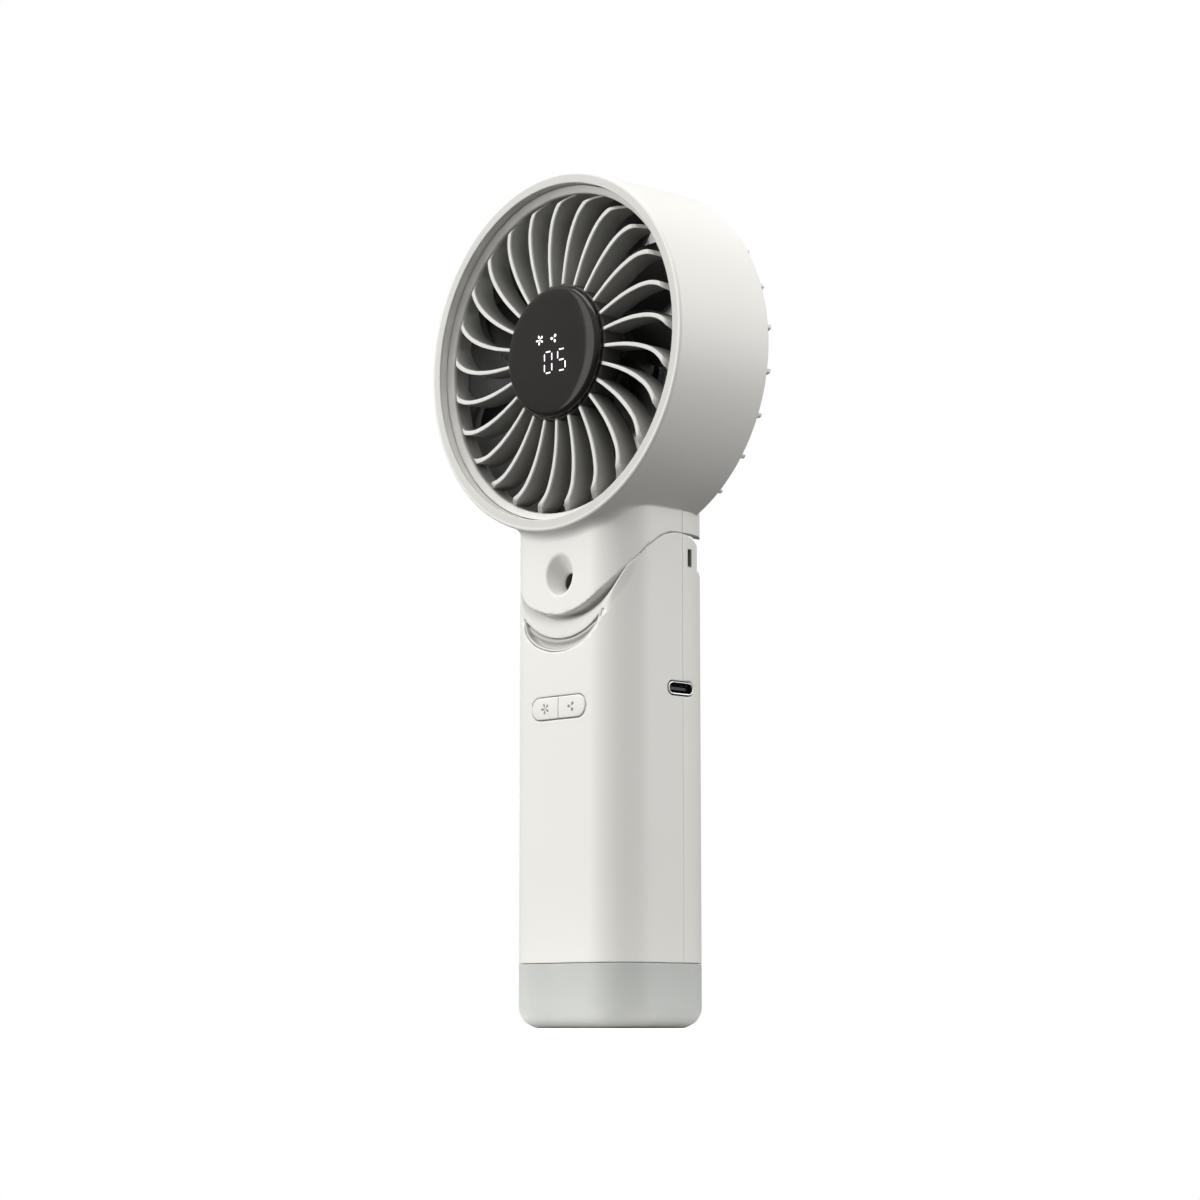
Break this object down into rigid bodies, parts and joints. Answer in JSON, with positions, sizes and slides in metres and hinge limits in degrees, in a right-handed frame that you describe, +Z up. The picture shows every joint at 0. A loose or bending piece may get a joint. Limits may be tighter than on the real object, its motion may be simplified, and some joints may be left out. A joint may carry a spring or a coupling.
{
  "type": "handheld electric fan",
  "caption": "Rechargeable hand fan with a round folding head, spiral-vaned grille with a central display, twin-rocker push buttons and a square handle with a lamp base.",
  "frame": {"origin": "centre of the flat base of the handle", "axes": "+Z up the handle to the head, the air leaves towards -Y, the charging port is on the +X side"},
  "size_m": [0.095, 0.0397, 0.2225],
  "materials": {
    "shell": "satin moulded plastic, warm off-white",
    "diffuser": "frosted translucent plastic, grey-white",
    "display": "high-gloss dark brown-black lens",
    "dark_plastic": "satin dark grey moulded plastic",
    "white_plastic": "white reflector plastic",
    "black_plastic": "black moulded plastic",
    "circuit_board": "green solder-masked glass-fibre board",
    "steel": "bright plated steel",
    "magnet": "dark sintered magnet",
    "copper": "enamelled copper wire on laminated core",
    "battery_wrap": "blue shrink wrap over a steel can",
    "led": "yellow phosphor light-emitting diode"
  },
  "bodies": {
    "handle": {"handle_front_shell": "shell", "handle_rear_shell": "shell", "grip_insert": "shell", "lamp_diffuser": "diffuser", "lamp_reflector": "white_plastic", "lamp_board": "circuit_board", "lamp_led_1": "led", "lamp_led_2": "led", "lamp_led_3": "led", "lamp_led_4": "led", "battery_cell": "battery_wrap", "battery_cradle": "dark_plastic", "main_board": "circuit_board", "control_chip": "black_plastic", "tact_switch_fan": "steel", "tact_switch_mode": "steel", "usb_c_shell": "steel", "usb_c_tongue": "black_plastic", "usb_board": "circuit_board", "hinge_pin_right": "steel", "hinge_pin_left": "steel", "hinge_washer_right": "steel", "hinge_washer_left": "steel"},
    "head": {"head_shell": "shell", "rear_cover": "shell", "front_grille": "shell", "display_lens": "display", "display_module": "black_plastic", "display_board": "circuit_board", "motor_mount": "steel", "motor_stator": "copper", "driver_board": "circuit_board", "bearing_front": "steel", "bearing_rear": "steel", "cover_screw_1": "steel", "cover_screw_2": "steel", "cover_screw_3": "steel"},
    "impeller": {"impeller": "dark_plastic", "rotor_can": "steel", "magnet_ring": "magnet", "motor_shaft": "steel"},
    "button_fan": {"button_fan": "shell"},
    "button_mode": {"button_mode": "shell"}
  },
  "joints": [
    {"name": "head_fold", "type": "hinge", "parent": "handle", "child": "head", "pos_m": [0, 0.003, 0.113], "axis": [-1, 0, 0], "range_deg": [0, 90]},
    {"name": "impeller_spin", "type": "hinge", "parent": "head", "child": "impeller", "pos_m": [0, 0, 0.175], "axis": [0, -1, 0], "continuous": true},
    {"name": "button_fan_press", "type": "slide", "parent": "handle", "child": "button_fan", "axis": [0, 1, 0], "range_m": [0, 0.0004], "stiffness_N_per_m": 500},
    {"name": "button_mode_press", "type": "slide", "parent": "handle", "child": "button_mode", "axis": [0, 1, 0], "range_m": [0, 0.0004], "stiffness_N_per_m": 500}
  ]
}
